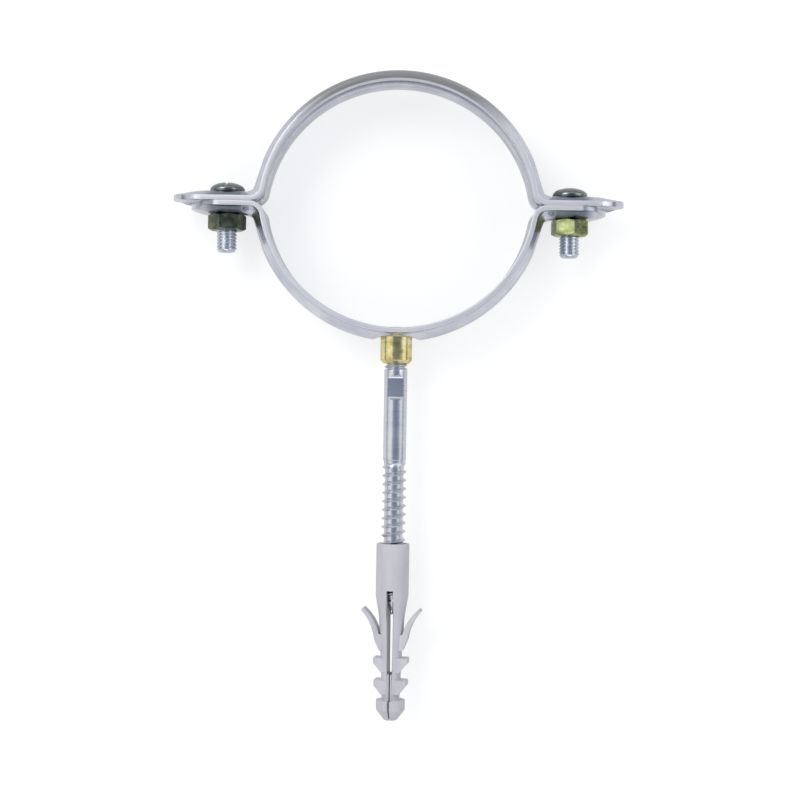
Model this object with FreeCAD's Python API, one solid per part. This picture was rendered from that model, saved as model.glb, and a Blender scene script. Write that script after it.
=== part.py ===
import FreeCAD, Part
import math
import os

from FreeCAD import Vector

# Downpipe bracket: a pipe clamp in two pressed halves, on a hanger screw with a wall plug.
# All sizes are in millimetres. The origin is at the middle of the pipe seat, half way up the
# band. +Z runs up the pipe, -Y points at the wall, and the ears lie along X. The two halves
# meet on the plane Y = 0, as they do before a pipe is clamped.

# Strip that both halves are pressed from
sheet = 1.5
band_width = 20.0
seat_radius = 40.6
# How far the centre of each half's arc lies beyond the parting plane, so the closed clamp
# is narrower than the pipe and grips it before the ears meet
seat_offset = 3.45

# Raised bead along the arcs: its height, half the width of its flat top and half its width
# at the foot
bead_height = 2.5
bead_crown = 0.9
bead_foot = 5.8
# Straight steps that each side of the bead is drawn with
bead_steps = 3

# The same bead pressed lower and flatter in the ears, where bolt heads and nuts bear on it
ear_bead_height = 1.8
ear_bead_crown = 4.2
ear_bead_foot = 7.6
bead_run_out = 1.9

# Ears, measured along X from the end of the bend
ear_bend = 3.2
bolt_setback = 7.4
front_ear_past_bolt = 16.3
rear_ear_past_bolt = 10.8

# Bolts and nuts
bolt_diameter = 6.0
bolt_length = 18.2
bolt_end_chamfer = 0.8
bolt_hole_play = 0.3
head_diameter = 10.6
head_height = 3.0
head_rim = 0.7
head_dome_angles = (0, 30, 55, 75)
slot_width = 1.3
slot_depth = 1.5
left_slot_turn = 6.0
right_slot_turn = 68.0
nut_across_flats = 10.0
nut_height = 5.0
nut_chamfer_angle = 30.0
left_nut_turn = -10.0
right_nut_turn = 20.0
thread_play = 0.05

# Boss riveted into the rear half
boss_diameter = 9.6
boss_length = 8.05
boss_chamfer = 0.9
boss_mouth_chamfer = 0.4
spigot_diameter = 8.5
spigot_play = 0.05
peened_diameter = 9.6
peened_height = 1.4
peened_rim = 0.5
peened_top_diameter = 7.8
# Flat pressed into the bead for the boss: how far it stands out from the strip's outer face
seat_rise = 1.0
seat_play = 0.6
peened_play = 0.1
seat_wall = 1.5

# Hanger screw
hanger_diameter = 7.0
hanger_top_setback = 0.8
hanger_top_chamfer = 0.6
machine_thread_showing = 1.9
collar_length = 1.7
grip_length = 7.6
grip_across_flats = 5.1
grip_run_out = 1.4
shank_length = 18.2
wood_thread_length = 46.8
wood_crest_diameter = 7.5
wood_point_length = 9.2
wood_point_diameter = 0.7

# Wall plug, with lengths measured down from its mouth
plug_gap_from_shank = 25.2
plug_diameter = 10.0
plug_length = 53.6
plug_mouth_chamfer = 0.35
barrel_length = 15.6
neck_end = 22.4
neck_diameter = 7.7
waist_end = 33.0
waist_diameter = 7.2
leg_diameter = 6.6
leg_end_diameter = 5.4
plug_bore_play = 0.05
slot_start = 14.1
window_width = 2.0
window_end = 21.8
slot_top_width = 1.9
slot_low_width = 1.4
slot_low_end = 39.5
slit_width = 0.35
tooth_starts = (34.6, 41.3)
tooth_reaches = (5.2, 4.95)
tooth_flat = 1.6
tooth_length = 4.4
tooth_thickness = 5.2
head_start = 47.4
head_reach = 4.4
head_straight = 3.0
head_tip_reach = 1.95
wing_thickness = 4.4
wing_root_inner = 27.4
wing_root_outer = 28.8
wing_root_reach = 5.1
wing_tip_inner = 19.5
wing_tip_outer = 20.4
wing_tip_reach = 9.1
wing_tip_width = 0.5
wing_bow = 0.75
wing_foot = 32.4
# How far the plug is turned about its own axis, with the right wing towards +Z
plug_turn = 9.0

# Sizes that follow from the ones above
half_width = band_width / 2
bend_inner = ear_bend + sheet
bend_from_centre = seat_radius + bend_inner
bend_x = math.sqrt(bend_from_centre ** 2 - (bend_inner + seat_offset) ** 2)
arc_end = math.degrees(math.atan2(bend_inner + seat_offset, bend_x))
bolt_x = bend_x + bolt_setback
ear_thickness = sheet + ear_bead_height
crest_y = seat_radius + sheet + bead_height - seat_offset
boss_seat = seat_radius + sheet + seat_rise - seat_offset
boss_end = boss_seat + boss_length
peened_seat = boss_seat - sheet
peened_top = peened_seat - peened_height
machine_end = boss_end + machine_thread_showing
grip_start = machine_end + collar_length
grip_end = grip_start + grip_length
shank_end = grip_end + shank_length
point_end = shank_end + wood_thread_length
plug_mouth = shank_end + plug_gap_from_shank
far = 3 * (seat_radius + plug_length)


# Turns a shape made along +Z into one along -Y, so that its Z is the distance to the wall.
def to_wall(shape, x=0.0):
    turn = FreeCAD.Placement(Vector(x, 0, 0), FreeCAD.Rotation(Vector(1, 0, 0), 90))
    shape.Placement = turn.multiply(shape.Placement)
    return shape


# Solid of revolution about the Z axis from (radius, height) points.
def turned(points):
    corners = [Vector(r, 0, z) for r, z in points]
    outline = Part.makePolygon(corners + corners[:1])
    return Part.Face(outline).revolve(Vector(0, 0, 0), Vector(0, 0, 1), 360)


def cylinder(radius, low, high):
    return Part.makeCylinder(radius, high - low, Vector(0, 0, low))


# A box centred on the Z axis in X and Y.
def centred_box(x_size, y_size, low, high):
    return Part.makeBox(x_size, y_size, high - low, Vector(-x_size / 2, -y_size / 2, low))


# Line parallel to one given as (height, place) points, at a distance above it.
def raised(points, distance):
    turns = [math.atan2(h1 - h0, p1 - p0) for (h0, p0), (h1, p1) in zip(points, points[1:])]
    result = []
    for i, (height, across) in enumerate(points):
        before, after = turns[max(i - 1, 0)], turns[min(i, len(turns) - 1)]
        middle = (before + after) / 2
        reach = distance / math.cos((after - before) / 2)
        result.append((height + reach * math.cos(middle), across - reach * math.sin(middle)))
    return result


# Cross-section of the strip as a wire. place turns (height above the inner face, place across
# the width) into a point. The bead's sides follow half a cosine wave, and the wall is as thick
# there as elsewhere. solid fills the hollow under the bead.
def strip_section(height, crown, foot, place, solid=False):
    steps = [k / bead_steps for k in range(bead_steps + 1)]
    side = [(height * (1 - math.cos(math.pi * u)) / 2, foot + (crown - foot) * u) for u in steps]
    inner = [(0, -half_width)] + [(h, -across) for h, across in side]
    inner += side[::-1] + [(0, half_width)]
    outer = raised(inner, sheet)
    if solid:
        inner = [inner[0], inner[-1]]
    corners = [place(h, across) for h, across in inner + outer[::-1]]
    return Part.makePolygon(corners + corners[:1])


# Section in the plane through the arc's centre at an angle from +X.
def arc_section(angle, solid=False):
    def place(lift, across):
        reach = seat_radius + lift
        return Vector(reach * math.cos(angle), reach * math.sin(angle) - seat_offset, across)

    return strip_section(bead_height, bead_crown, bead_foot, place, solid)


# The arc of a half, which lies on +Y, about its own centre.
def half_arc(solid=False):
    face = Part.Face(arc_section(math.radians(arc_end), solid))
    return face.revolve(Vector(0, -seat_offset, 0), Vector(0, 0, 1), 180 - 2 * arc_end)


# Right-hand bend, the length where the bead runs down, and the ear with its round end.
def bend_and_ear(past_bolt):
    bend = Part.Face(arc_section(math.radians(arc_end)))
    bend = bend.revolve(Vector(bend_x, bend_inner, 0), Vector(0, 0, 1), 90 - arc_end)
    low_x = bend_x + bead_run_out
    tall = strip_section(bead_height, bead_crown, bead_foot,
                         lambda lift, across: Vector(bend_x, lift, across))
    low = strip_section(ear_bead_height, ear_bead_crown, ear_bead_foot,
                        lambda lift, across: Vector(low_x, lift, across))
    run_out = Part.makeLoft([tall, low], True, True)
    tip = bolt_x + past_bolt
    ear = Part.Face(low).extrude(Vector(tip - low_x, 0, 0))
    plate = Part.makeBox(tip - half_width - bend_x, ear_thickness, band_width,
                         Vector(bend_x, 0, -half_width))
    plate = plate.fuse(Part.makeCylinder(half_width, ear_thickness,
                                         Vector(tip - half_width, 0, 0), Vector(0, 1, 0)))
    hole = Part.makeCylinder(bolt_diameter / 2 + bolt_hole_play, ear_thickness,
                             Vector(bolt_x, 0, 0), Vector(0, 1, 0))
    return bend.fuse([run_out, ear.common(plate).cut(hole)])


# One half of the clamp on +Y, with both ears.
def half_band(past_bolt):
    right = bend_and_ear(past_bolt)
    left = right.mirror(Vector(0, 0, 0), Vector(1, 0, 0))
    return half_arc().fuse([right, left]).removeSplitter()


def front_half_band():
    return half_band(front_ear_past_bolt)


# The rear half has a round flat pressed into its bead, with a hole for the boss's spigot.
def rear_half_band():
    band = half_band(rear_ear_past_bolt)
    outer = boss_diameter / 2 + seat_play + seat_wall
    shaft = Vector(0, 1, 0)
    low = peened_seat - sheet - seat_offset
    zone = Part.makeCylinder(outer, crest_y + sheet - low, Vector(0, low, 0), shaft)
    pocket = Part.makeCylinder(outer - seat_wall, far, Vector(0, boss_seat, 0), shaft)
    recess = Part.makeCylinder(peened_diameter / 2 + peened_play, peened_seat - low,
                               Vector(0, low, 0), shaft)
    hole = Part.makeCylinder(spigot_diameter / 2 + spigot_play, far, Vector(0, low, 0), shaft)
    pressed = half_arc(True).common(zone).cut([pocket, recess, hole])
    band = band.cut(zone).fuse(pressed).removeSplitter()
    return band.mirror(Vector(0, 0, 0), Vector(0, 1, 0))


# Turned boss: a body below the band, a spigot through it and a head peened over inside.
def threaded_boss():
    body = boss_diameter / 2
    bore = hanger_diameter / 2 + thread_play
    spigot = spigot_diameter / 2
    points = [(bore, peened_top), (peened_top_diameter / 2, peened_top),
              (peened_diameter / 2, peened_seat - peened_rim), (peened_diameter / 2, peened_seat),
              (spigot, peened_seat), (spigot, boss_seat), (body, boss_seat),
              (body, boss_end - boss_chamfer), (body - boss_chamfer, boss_end),
              (bore + boss_mouth_chamfer, boss_end), (bore, boss_end - boss_mouth_chamfer)]
    return to_wall(turned(points))


# A bolt with a round slotted head on the front ear, its shank through both ears.
def bolt(x, slot_turn):
    radius = bolt_diameter / 2
    head = head_diameter / 2
    seat = -ear_thickness
    end = seat + bolt_length
    top = seat - head_height
    rim = seat - head_rim
    angles = [math.radians(a) for a in head_dome_angles]
    dome = [(head * math.cos(a), rim + (top - rim) * math.sin(a)) for a in angles]
    cap = turned([(0, seat), (head, seat)] + dome + [(0, dome[-1][1])])
    shank = turned([(0, seat), (radius, seat), (radius, end - bolt_end_chamfer),
                    (radius - bolt_end_chamfer, end), (0, end)])
    slot = centred_box(slot_width, far, top - slot_depth, top + slot_depth)
    slot.rotate(Vector(0, 0, 0), Vector(0, 0, 1), slot_turn)
    return to_wall(cap.cut(slot).fuse(shank).removeSplitter(), x)


# A hex nut that bears on the rear ear, chamfered on both faces.
def nut(x, turn):
    corner = nut_across_flats / 2 / math.cos(math.pi / 6)
    top = ear_thickness
    corners = [Vector(corner * math.cos(k * math.pi / 3), corner * math.sin(k * math.pi / 3), top)
               for k in range(7)]
    prism = Part.Face(Part.makePolygon(corners)).extrude(Vector(0, 0, nut_height))
    flat = nut_across_flats / 2
    drop = (corner - flat) * math.tan(math.radians(nut_chamfer_angle))
    rounded = turned([(0, top), (flat, top), (corner, top + drop), (corner, top + nut_height - drop),
                      (flat, top + nut_height), (0, top + nut_height)])
    hole = cylinder(bolt_diameter / 2 + thread_play, top, top + nut_height)
    body = prism.common(rounded).cut(hole)
    body.rotate(Vector(0, 0, 0), Vector(0, 0, 1), turn)
    return to_wall(body, x)


# Milling cutter that leaves one spanner flat, with its round run-outs, on +Y.
def flat_cutter():
    radius = hanger_diameter / 2
    low, high = grip_start + grip_run_out, grip_end - grip_run_out
    cutter = Part.makeBox(hanger_diameter, radius, high - low, Vector(-radius, 0, low))
    wheels = [Part.makeCylinder(grip_run_out, hanger_diameter, Vector(-radius, grip_run_out, end),
                                Vector(1, 0, 0)) for end in (low, high)]
    cutter = cutter.fuse(wheels)
    cutter.translate(Vector(0, grip_across_flats / 2, 0))
    return cutter


# Hanger screw: machine thread, collar, spanner flats, shank and wood thread. Both threads have
# their crest size, with no grooves.
def hanger_screw():
    radius = hanger_diameter / 2
    crest = wood_crest_diameter / 2
    point = wood_point_diameter / 2
    top = peened_top + hanger_top_setback
    rod = turned([(0, top), (radius - hanger_top_chamfer, top), (radius, top + hanger_top_chamfer),
                  (radius, shank_end), (crest, shank_end + crest - radius),
                  (crest, point_end - wood_point_length), (point, point_end), (0, point_end)])
    near = flat_cutter()
    behind = near.mirror(Vector(0, 0, 0), Vector(0, 1, 0))
    return to_wall(rod.cut([near, behind]))


# Half of the plug's outline on +X as a closed face, extruded to a thickness across Y.
def slab(points, thickness):
    corners = [Vector(x, -thickness / 2, z) for x, z in points]
    return Part.Face(Part.makePolygon(corners + corners[:1])).extrude(Vector(0, thickness, 0))


# A barb on a leg: square towards the mouth, sloping back to the leg towards the tip.
def tooth(start, reach):
    return slab([(0, start), (reach, start), (reach, start + tooth_flat),
                 (leg_end_diameter / 2, start + tooth_length), (0, start + tooth_length)],
                tooth_thickness)


# A spring wing: it grows out of the leg, and curves up and outwards to a thin tip.
def wing():
    def bowed(x0, z0, x1, z1):
        length = math.hypot(x1 - x0, z1 - z0)
        aside = wing_bow / length
        middle = Vector((x0 + x1) / 2 + (z1 - z0) * aside, -wing_thickness / 2,
                        (z0 + z1) / 2 - (x1 - x0) * aside)
        ends = [Vector(x, -wing_thickness / 2, z) for x, z in ((x0, z0), (x1, z1))]
        return ends, Part.Arc(ends[0], middle, ends[1]).toShape()

    waist = waist_diameter / 2
    inner_ends, inner = bowed(waist, wing_root_inner, wing_tip_reach - wing_tip_width, wing_tip_inner)
    outer_ends, outer = bowed(wing_root_reach, wing_root_outer, wing_tip_reach, wing_tip_outer)
    tip = Part.makeLine(inner_ends[1], outer_ends[1])
    foot = [Vector(waist, -wing_thickness / 2, wing_foot), Vector(0, -wing_thickness / 2, wing_foot),
            Vector(0, -wing_thickness / 2, wing_root_inner)]
    closing = [outer_ends[0]] + foot + [inner_ends[0]]
    lines = [Part.makeLine(a, b) for a, b in zip(closing, closing[1:])]
    outline = Part.Wire(Part.__sortEdges__([inner, tip, outer] + lines))
    return Part.Face(outline).extrude(Vector(0, wing_thickness, 0))


# Everything cut out of the plug: the bore for the screw with its pilot hole, and the slot that
# frees the legs.
def plug_cuts():
    bore = wood_crest_diameter / 2 + plug_bore_play
    straight = point_end - wood_point_length - plug_mouth
    taper = (wood_crest_diameter - wood_point_diameter) / 2 / wood_point_length
    end = straight + (bore - slot_top_width / 2) / taper
    hole = turned([(0, 0), (bore, 0), (bore, straight), (slot_top_width / 2, end), (0, end)])
    pilot = cylinder(slot_top_width / 2, 0, window_end)
    window = centred_box(window_width, plug_diameter, slot_start, window_end)
    slot = slab([(-slot_top_width / 2, window_end), (slot_top_width / 2, window_end),
                 (slot_low_width / 2, slot_low_end), (-slot_low_width / 2, slot_low_end)],
                plug_diameter)
    slit = centred_box(slit_width, plug_diameter, slot_low_end, plug_length)
    return [hole, pilot, window, slot, slit]


# The plug is one moulding: round barrel and neck, two split legs, barbs, wings and head.
def wall_plug():
    barrel = plug_diameter / 2
    body = turned([(0, 0), (barrel - plug_mouth_chamfer, 0), (barrel, plug_mouth_chamfer),
                   (barrel, barrel_length), (neck_diameter / 2, neck_end),
                   (waist_diameter / 2, wing_root_inner), (leg_diameter / 2, waist_end),
                   (leg_end_diameter / 2, head_start),
                   (head_reach, head_start), (head_reach, head_start + head_straight),
                   (head_tip_reach, plug_length), (0, plug_length)])
    barbs = [tooth(start, reach) for start, reach in zip(tooth_starts, tooth_reaches)] + [wing()]
    barbs += [piece.mirror(Vector(0, 0, 0), Vector(1, 0, 0)) for piece in barbs]
    plug = body.fuse(barbs).cut(plug_cuts())
    plug.rotate(Vector(0, 0, 0), Vector(0, 0, 1), plug_turn)
    plug.translate(Vector(0, 0, plug_mouth))
    return to_wall(plug)


parts = {
    "front_half_band": front_half_band(),
    "rear_half_band": rear_half_band(),
    "threaded_boss": threaded_boss(),
    "bolt_left": bolt(-bolt_x, left_slot_turn),
    "bolt_right": bolt(bolt_x, right_slot_turn),
    "nut_left": nut(-bolt_x, left_nut_turn),
    "nut_right": nut(bolt_x, right_nut_turn),
    "hanger_screw": hanger_screw(),
    "wall_plug": wall_plug(),
}

os.makedirs("parts", exist_ok=True)
for name, shape in parts.items():
    box = shape.BoundBox
    print(name, "solids", len(shape.Solids), "valid", shape.isValid(), "volume", round(shape.Volume, 1),
          "box", [round(v, 2) for v in (box.XMin, box.XMax, box.YMin, box.YMax, box.ZMin, box.ZMax)])
    shape.exportStep("parts/" + name + ".step")
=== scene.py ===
# %% [markdown]
# # A downpipe bracket, dressed for a studio picture
#
# The bracket is a pipe clamp: two halves pressed from zinc plated strip, bolted together
# through their ears, on a hanger screw with a grey nylon wall plug. The imported model holds
# its pieces at their real size and knows how they move. This lesson gives every piece the
# form and the finish that the eye expects: rolled beads, screw threads, turned brass, milled
# flats and moulded nylon. First the model is loaded.

# %% Load the imported model
import math

import bmesh
import bpy
from mathutils import Matrix, Vector


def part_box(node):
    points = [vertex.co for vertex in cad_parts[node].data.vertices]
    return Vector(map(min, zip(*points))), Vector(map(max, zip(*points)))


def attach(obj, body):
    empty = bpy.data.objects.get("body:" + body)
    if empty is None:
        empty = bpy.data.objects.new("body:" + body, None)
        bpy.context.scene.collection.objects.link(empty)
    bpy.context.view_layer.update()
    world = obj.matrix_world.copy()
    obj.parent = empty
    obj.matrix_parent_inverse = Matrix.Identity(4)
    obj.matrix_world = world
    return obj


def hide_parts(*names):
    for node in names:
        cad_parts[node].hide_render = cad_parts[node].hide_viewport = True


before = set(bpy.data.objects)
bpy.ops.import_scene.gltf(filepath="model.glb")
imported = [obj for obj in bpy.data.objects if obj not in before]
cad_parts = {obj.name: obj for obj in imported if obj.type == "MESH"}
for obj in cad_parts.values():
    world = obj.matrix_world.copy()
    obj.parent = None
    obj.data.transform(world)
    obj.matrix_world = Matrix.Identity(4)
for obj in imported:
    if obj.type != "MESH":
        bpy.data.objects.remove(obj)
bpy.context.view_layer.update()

# %% [markdown]
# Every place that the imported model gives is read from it: the tips of the ears, the middle of
# each bolt, the ends of the boss, the screw and the plug. What a box can't tell, such as the
# gauge of the strip or the form of its bead, is written here once as a real size.

# %% Sizes in metres
mm = 0.001
sheet = 1.5 * mm
seat_radius = 40.6 * mm
bead_height, bead_crown, bead_foot = 2.5 * mm, 0.7 * mm, 5.8 * mm
ear_height, ear_crown, ear_foot = 1.8 * mm, 4.3 * mm, 8.2 * mm
bend_inner = 4.7 * mm
run_out = 2.6 * mm
strip_corner = 0.25 * mm

front_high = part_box("front_half_band")[1]
rear_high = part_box("rear_half_band")[1]
half_width = front_high.z
seat_offset = seat_radius + bead_height + sheet - front_high.y
bend_x = math.sqrt((seat_radius + bend_inner) ** 2 - (bend_inner + seat_offset) ** 2)
arc_end = math.atan2(bend_inner + seat_offset, bend_x)
ear_thickness = sheet + ear_height
bolt_low, bolt_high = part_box("bolt_right")
bolt_x = (bolt_low.x + bolt_high.x) / 2
print("seat offset", round(seat_offset / mm, 2), "mm, bolts at", round(bolt_x / mm, 2), "mm")

# %% [markdown]
# ## Small helpers for meshes
#
# Most pieces of this bracket were turned, rolled or sawn, so most meshes here start from an
# outline that is spun about an axis. Turned pieces are drawn along +Z, which stands for the
# way to the wall, and one rotation at the end lays them along -Y. A lathe outline that starts
# and ends on the axis closes by itself, and an outline with a bore is closed in a loop. A
# hair, a thousandth of a millimetre, tells points that are the same from points that are not.

# %% Turn an outline on the lathe
to_wall = Matrix.Rotation(math.pi / 2, 4, "X")
hair = 0.001 * mm


def lathe(points, steps=96, bored=False):
    bm = bmesh.new()
    verts = [bm.verts.new((radius, 0, along)) for radius, along in points]
    chain = zip(verts, verts[1:] + verts[:1]) if bored else zip(verts, verts[1:])
    edges = [bm.edges.new(pair) for pair in chain]
    bmesh.ops.spin(bm, geom=verts + edges, cent=(0, 0, 0), axis=(0, 0, 1), dvec=(0, 0, 0),
                   angle=2 * math.pi, steps=steps, use_merge=True, use_duplicate=False)
    bmesh.ops.remove_doubles(bm, verts=bm.verts, dist=hair / 2)
    bmesh.ops.recalc_face_normals(bm, faces=bm.faces)
    return bm


def rounded(points, radius, steps=4):
    """Puts a small arc in place of each inner corner, and takes less than half of a side for it."""
    side_share = 2.2
    result = [points[0]]
    for before, corner, after in zip(points, points[1:], points[2:]):
        corner = Vector(corner)
        to_before, to_after = Vector(before) - corner, Vector(after) - corner
        reach = min(radius, to_before.length / side_share, to_after.length / side_share)
        start = corner + to_before.normalized() * reach
        end = corner + to_after.normalized() * reach
        for k in range(steps + 1):
            u = k / steps
            result.append(tuple(start * (1 - u) ** 2 + corner * 2 * u * (1 - u) + end * u ** 2))
    return result + [points[-1]]


print("a lathe outline closes on the axis, or in a loop round a bore")

# %% [markdown]
# Real threads aren't rings, they climb. A spin can climb too: with a step along the axis at
# each turn of the crank it sweeps one tooth of the thread into a helix, and where one turn
# ends the next begins, so the surface closes after its doubles are merged. The two ends are
# sawn off flat and filled, and a rule for the radius then fades the thread in, chamfers it or
# draws it to a point, as the tool does on the real screw.

# %% Sweep a thread
thread_seam = 0.02 * mm


def threaded_rod(tooth, pitch, low, high, radius_rule, steps=48):
    bm = bmesh.new()
    turns = math.ceil((high - low) / pitch) + 2
    verts = [bm.verts.new((radius, 0, low - pitch + along)) for radius, along in tooth]
    edges = [bm.edges.new(pair) for pair in zip(verts, verts[1:])]
    bmesh.ops.spin(bm, geom=verts + edges, cent=(0, 0, 0), axis=(0, 0, 1),
                   dvec=(0, 0, pitch / steps), angle=2 * math.pi * turns, steps=turns * steps,
                   use_merge=False, use_duplicate=False)
    bmesh.ops.remove_doubles(bm, verts=bm.verts, dist=thread_seam)
    for height, facing in ((low, -1), (high, 1)):
        bmesh.ops.bisect_plane(bm, geom=bm.verts[:] + bm.edges[:] + bm.faces[:], dist=hair / 10,
                               plane_co=(0, 0, height), plane_no=(0, 0, facing), clear_outer=True)
        rim = [edge for edge in bm.edges if edge.is_boundary and
               all(abs(v.co.z - height) < hair for v in edge.verts)]
        bmesh.ops.edgeloop_fill(bm, edges=rim)
    for vert in bm.verts:
        radius = math.hypot(vert.co.x, vert.co.y)
        if radius > 0:
            share = radius_rule(radius, vert.co.z) / radius
            vert.co.x *= share
            vert.co.y *= share
    bmesh.ops.recalc_face_normals(bm, faces=bm.faces)
    return bm


def tooth_outline(root, crest, pitch, root_flat, crest_flat):
    """One tooth over one pitch: root, flank, crest, flank, root."""
    flank = (pitch - root_flat - crest_flat) / 2
    return [(root, 0), (root, root_flat / 2), (crest, root_flat / 2 + flank),
            (crest, root_flat / 2 + flank + crest_flat), (root, pitch - root_flat / 2), (root, pitch)]


print("a thread is one tooth, spun and lifted")

# %% [markdown]
# Slots, flats and holes are cut after the blank is turned, as in the workshop. A Boolean with
# the exact solver does that to a mesh. The cutter is deleted afterwards, and the result is
# kept as a plain mesh, with its object at the origin.

# %% Make a piece, and cut it
def new_piece(name, bm):
    mesh = bpy.data.meshes.new(name)
    bm.to_mesh(mesh)
    bm.free()
    piece = bpy.data.objects.new(name, mesh)
    bpy.context.scene.collection.objects.link(piece)
    return piece


def worked(piece, operation, *tools):
    """Unites the piece with each tool, or cuts each tool out of it."""
    for bm in tools:
        tool = new_piece("tool", bm)
        cut = piece.modifiers.new("cut", "BOOLEAN")
        cut.operation = operation
        cut.solver = "EXACT"
        cut.object = tool
        graph = bpy.context.evaluated_depsgraph_get()
        mesh = bpy.data.meshes.new_from_object(piece.evaluated_get(graph))
        piece.modifiers.remove(cut)
        before = piece.data
        piece.data = mesh
        mesh.name = piece.name
        bpy.data.meshes.remove(before)
        spent = tool.data
        bpy.data.objects.remove(tool)
        bpy.data.meshes.remove(spent)
    return piece


def bar(radius, low, high, axis="Z", at=(0, 0), steps=64):
    """A round bar along an axis, from low to high. at is its middle in the other two axes."""
    bm = bmesh.new()
    bmesh.ops.create_cone(bm, cap_ends=True, segments=steps, radius1=radius, radius2=radius,
                          depth=high - low)
    bmesh.ops.translate(bm, verts=bm.verts, vec=(0, 0, (low + high) / 2))
    if axis == "X":
        bmesh.ops.rotate(bm, verts=bm.verts, cent=(0, 0, 0), matrix=Matrix.Rotation(math.pi / 2, 3, "Y"))
        bmesh.ops.translate(bm, verts=bm.verts, vec=(0, at[0], at[1]))
    elif axis == "Y":
        bmesh.ops.rotate(bm, verts=bm.verts, cent=(0, 0, 0), matrix=Matrix.Rotation(-math.pi / 2, 3, "X"))
        bmesh.ops.translate(bm, verts=bm.verts, vec=(at[0], 0, at[1]))
    else:
        bmesh.ops.translate(bm, verts=bm.verts, vec=(at[0], at[1], 0))
    return bm


def block(low, high):
    """A box between two corners."""
    bm = bmesh.new()
    bmesh.ops.create_cube(bm, size=1)
    size = [b - a for a, b in zip(low, high)]
    middle = [(a + b) / 2 for a, b in zip(low, high)]
    bmesh.ops.scale(bm, verts=bm.verts, vec=size)
    bmesh.ops.translate(bm, verts=bm.verts, vec=middle)
    return bm


def drawn_out(bm, step):
    """Draws a flat face out by a step, into a solid."""
    made = bmesh.ops.extrude_face_region(bm, geom=bm.faces[:])["geom"]
    bmesh.ops.translate(bm, verts=[v for v in made if isinstance(v, bmesh.types.BMVert)], vec=step)
    bmesh.ops.recalc_face_normals(bm, faces=bm.faces)
    return bm


def plate(points, thickness):
    """An outline in X and Z, made a slab of a thickness that is centred on Y = 0."""
    bm = bmesh.new()
    bm.faces.new([bm.verts.new((x, -thickness / 2, z)) for x, z in points])
    return drawn_out(bm, (0, thickness, 0))


print("cutters: bar, block and plate")

# %% [markdown]
# A finished piece gets its body and its material slot in one place, and the imported part that
# it stands for is hidden. Its sharp edges get a small bevel, because no workshop leaves a perfect
# edge and the light shows it. The hanger screw's thread is too fine for that, so its edges past a
# limit are only marked sharp. Faces are shaded smooth, so that a rolled bead reads as one surface,
# and the bevels keep the flats flat.

# %% Finish a piece
def finish_piece(piece, body, node, material, edge=0.12 * mm, limit=40, place=None):
    if place is not None:
        piece.data.transform(place)
    piece.data.materials.clear()
    piece.data.materials.append(material)
    piece.data.shade_smooth()
    if edge:
        bevel = piece.modifiers.new("edge", "BEVEL")
        bevel.width = edge
        bevel.segments = 2
        bevel.limit_method = "ANGLE"
        bevel.angle_limit = math.radians(limit)
        bevel.use_clamp_overlap = False
        bevel.harden_normals = True
    else:
        piece.data.set_sharp_from_angle(angle=math.radians(limit))
    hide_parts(node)
    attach(piece, body)
    print(piece.name, "has", len(piece.data.polygons), "faces and rides on", body)
    return piece


# %% [markdown]
# ## Finishes
#
# Materials are worked out from Object coordinates, so a scratch or a stain is as large on the
# piece as it is in metres. To keep the shader maths readable, a small class wraps one output
# socket, and adding or multiplying two of them adds the Math node. One method makes every
# other node, with its settings first and then the values or links of its sockets.

# %% Shader arithmetic
class Field:
    """A value that changes over the surface: one output socket of a material's nodes."""

    def __init__(self, tree, socket):
        self.tree = tree
        self.socket = socket

    def __add__(self, other):
        return self.tree.maths("ADD", self, other)

    def __sub__(self, other):
        return self.tree.maths("SUBTRACT", self, other)

    def __rsub__(self, other):
        return self.tree.maths("SUBTRACT", other, self)

    def __mul__(self, other):
        return self.tree.maths("MULTIPLY", self, other)

    def __abs__(self):
        return self.tree.maths("ABSOLUTE", self)

    __radd__ = __add__
    __rmul__ = __mul__


class Tree:
    """The nodes of a material or of the world."""

    def __init__(self, tree):
        self.tree = tree

    def node(self, kind, settings, inputs, output=0):
        made = self.tree.nodes.new(kind)
        for name, value in settings.items():
            if name == "stops":
                ramp = made.color_ramp
                while len(ramp.elements) < len(value):
                    ramp.elements.new(0.5)
                for element, (position, colour) in zip(ramp.elements, value):
                    element.position = position
                    element.color = (*colour, 1)
            else:
                setattr(made, name, value)
        for name, value in inputs.items():
            if isinstance(value, Field):
                self.tree.links.new(value.socket, made.inputs[name])
            else:
                made.inputs[name].default_value = value
        return Field(self, made.outputs[output])

    def maths(self, operation, *values):
        return self.node("ShaderNodeMath", {"operation": operation}, dict(enumerate(values)))

    def ramp(self, value, *stops):
        return self.node("ShaderNodeValToRGB", {"stops": stops}, {"Fac": value})

    def share(self, value, low, high):
        """0 where the value is low or less, 1 where it is high or more."""
        return self.node("ShaderNodeMapRange", {}, {0: value, 1: low, 2: high, 3: 0.0, 4: 1.0})

    def mix(self, share, first, second):
        """Colours are mixed by a share, as (r, g, b) or as fields."""
        first, second = [c if isinstance(c, Field) else (*c, 1) for c in (first, second)]
        return self.node("ShaderNodeMix", {"data_type": "RGBA"}, {0: share, 6: first, 7: second}, 2)

    def link(self, target, **fields):
        for name, value in fields.items():
            self.tree.links.new(value.socket, self.tree.nodes[target].inputs[name.replace("_", " ")])


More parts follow.
